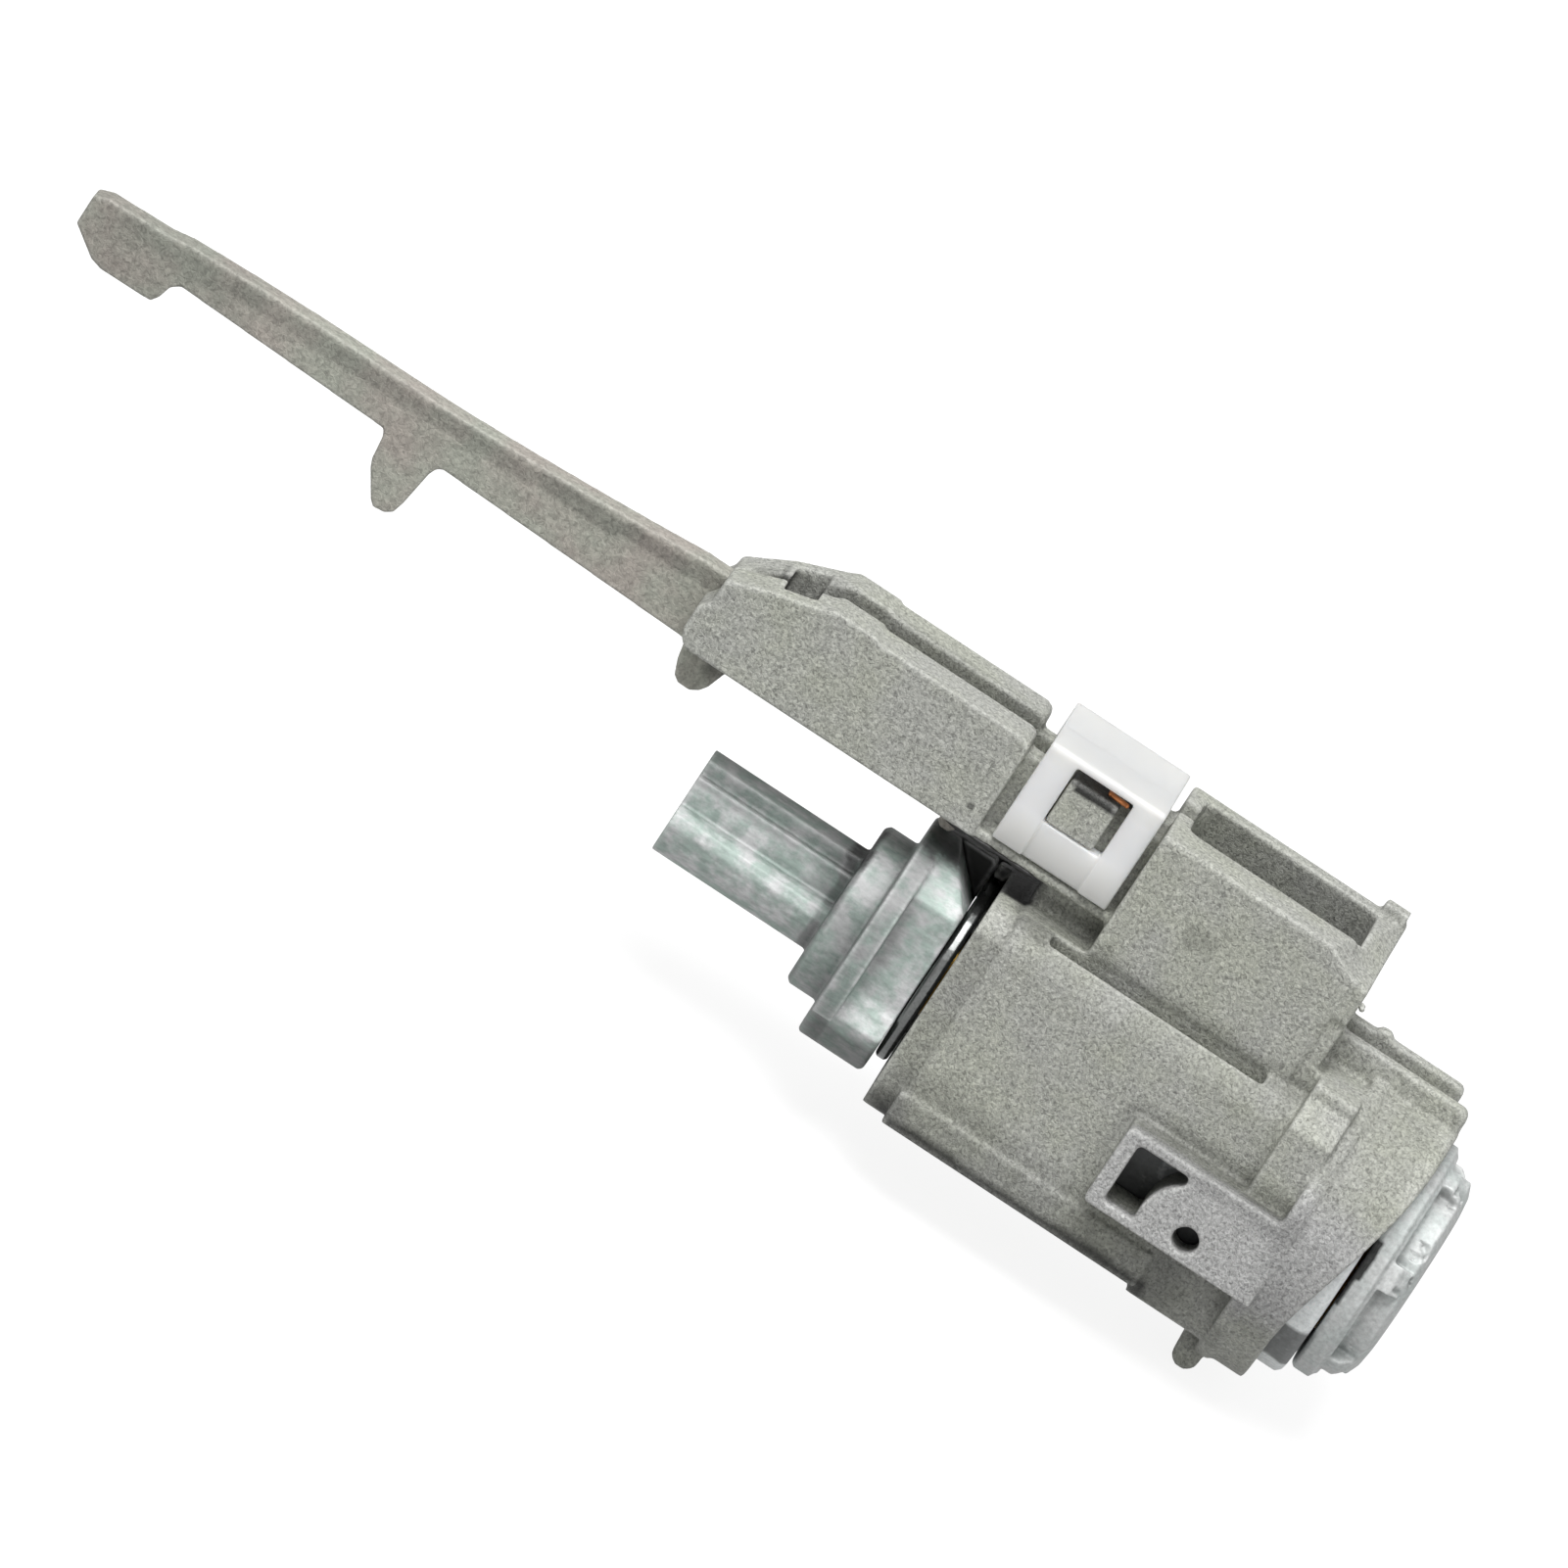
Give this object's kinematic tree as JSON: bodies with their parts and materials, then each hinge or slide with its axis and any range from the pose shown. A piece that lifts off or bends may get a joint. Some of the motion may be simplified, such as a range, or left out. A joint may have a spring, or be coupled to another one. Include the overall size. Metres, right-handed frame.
{
  "type": "ignition lock cylinder",
  "caption": "Die-cast zinc ignition lock housing with key plug, rear drive rotor, nylon clip and a long hooked lock lever rocking in its guide.",
  "frame": {"origin": "on the barrel axis at the rear rim of the barrel, where the housing seats on the column", "axes": "+X along the barrel axis towards the key face, +Z from the barrel to the lever guide, +Y away from the window block"},
  "size_m": [0.1736, 0.0362, 0.0506],
  "materials": {
    "cast_zinc": "matte as-cast zinc, fine blasted grain",
    "lever_zinc": "smooth as-cast zinc",
    "bright_zinc": "shiny die-cast zinc with fine scratches",
    "white_nylon": "natural white nylon, slightly translucent",
    "brass": "machined brass",
    "spring_steel": "bright steel",
    "bronze_wire": "drawn bronze wire"
  },
  "bodies": {
    "housing": {"lock_housing": "cast_zinc", "cylinder_sleeve": "bright_zinc", "retaining_clip": "white_nylon", "lever_spring": "bronze_wire", "thrust_washer": "spring_steel", "return_spring": "spring_steel", "release_spring": "spring_steel"},
    "plug": {"key_plug": "brass", "lock_cap": "bright_zinc", "shutter_pin": "spring_steel", "shutter_spring": "spring_steel", "rear_rotor": "bright_zinc", "retaining_ring": "spring_steel", "wafer_spring_1": "spring_steel", "wafer_spring_2": "spring_steel", "wafer_spring_3": "spring_steel", "wafer_spring_4": "spring_steel", "wafer_spring_5": "spring_steel", "wafer_spring_6": "spring_steel", "wafer_spring_7": "spring_steel"},
    "lever": {"lock_lever": "lever_zinc"},
    "shutter": {"dust_shutter": "spring_steel"},
    "release": {"release_pin": "spring_steel"},
    "tumbler_1": {"wafer_1": "brass"},
    "tumbler_2": {"wafer_2": "brass"},
    "tumbler_3": {"wafer_3": "brass"},
    "tumbler_4": {"wafer_4": "brass"},
    "tumbler_5": {"wafer_5": "brass"},
    "tumbler_6": {"wafer_6": "brass"},
    "tumbler_7": {"wafer_7": "brass"}
  },
  "joints": [
    {"name": "key_turn", "type": "hinge", "parent": "housing", "child": "plug", "pos_m": [0, 0, 0], "axis": [-1, 0, 0], "range_deg": [0, 110]},
    {"name": "lever_rock", "type": "hinge", "parent": "housing", "child": "lever", "pos_m": [-0.03355, 0.00025, 0.0212], "axis": [0, -1, 0], "range_deg": [0, 2.75], "deforming": ["lever_spring"]},
    {"name": "shutter_swing", "type": "hinge", "parent": "plug", "child": "shutter", "pos_m": [0.0542, 0, 0.005], "axis": [0, 1, 0], "range_deg": [0, 75], "stiffness_Nm_per_rad": 0.001, "springref_deg": -17.19},
    {"name": "release_pin_press", "type": "slide", "parent": "housing", "child": "release", "axis": [0, 1, 0], "range_m": [0, 0.0024], "stiffness_N_per_m": 300, "springref_m": -0.001, "deforming": ["release_spring"]},
    {"name": "wafer_1_press", "type": "slide", "parent": "plug", "child": "tumbler_1", "axis": [0, 0, -1], "range_m": [0, 0.0008], "stiffness_N_per_m": 30, "springref_m": -0.001, "deforming": ["wafer_spring_1"]},
    {"name": "wafer_2_press", "type": "slide", "parent": "plug", "child": "tumbler_2", "axis": [0, 0, -1], "range_m": [0, 0.0008], "stiffness_N_per_m": 30, "springref_m": -0.001, "deforming": ["wafer_spring_2"]},
    {"name": "wafer_3_press", "type": "slide", "parent": "plug", "child": "tumbler_3", "axis": [0, 0, -1], "range_m": [0, 0.0008], "stiffness_N_per_m": 30, "springref_m": -0.001, "deforming": ["wafer_spring_3"]},
    {"name": "wafer_4_press", "type": "slide", "parent": "plug", "child": "tumbler_4", "axis": [0, 0, -1], "range_m": [0, 0.0008], "stiffness_N_per_m": 30, "springref_m": -0.001, "deforming": ["wafer_spring_4"]},
    {"name": "wafer_5_press", "type": "slide", "parent": "plug", "child": "tumbler_5", "axis": [0, 0, -1], "range_m": [0, 0.0008], "stiffness_N_per_m": 30, "springref_m": -0.001, "deforming": ["wafer_spring_5"]},
    {"name": "wafer_6_press", "type": "slide", "parent": "plug", "child": "tumbler_6", "axis": [0, 0, -1], "range_m": [0, 0.0008], "stiffness_N_per_m": 30, "springref_m": -0.001, "deforming": ["wafer_spring_6"]},
    {"name": "wafer_7_press", "type": "slide", "parent": "plug", "child": "tumbler_7", "axis": [0, 0, -1], "range_m": [0, 0.0008], "stiffness_N_per_m": 30, "springref_m": -0.001, "deforming": ["wafer_spring_7"]}
  ],
  "couplings": [
    {"joint": "lever_rock", "follows": "key_turn", "ratio": 0.02475}
  ]
}
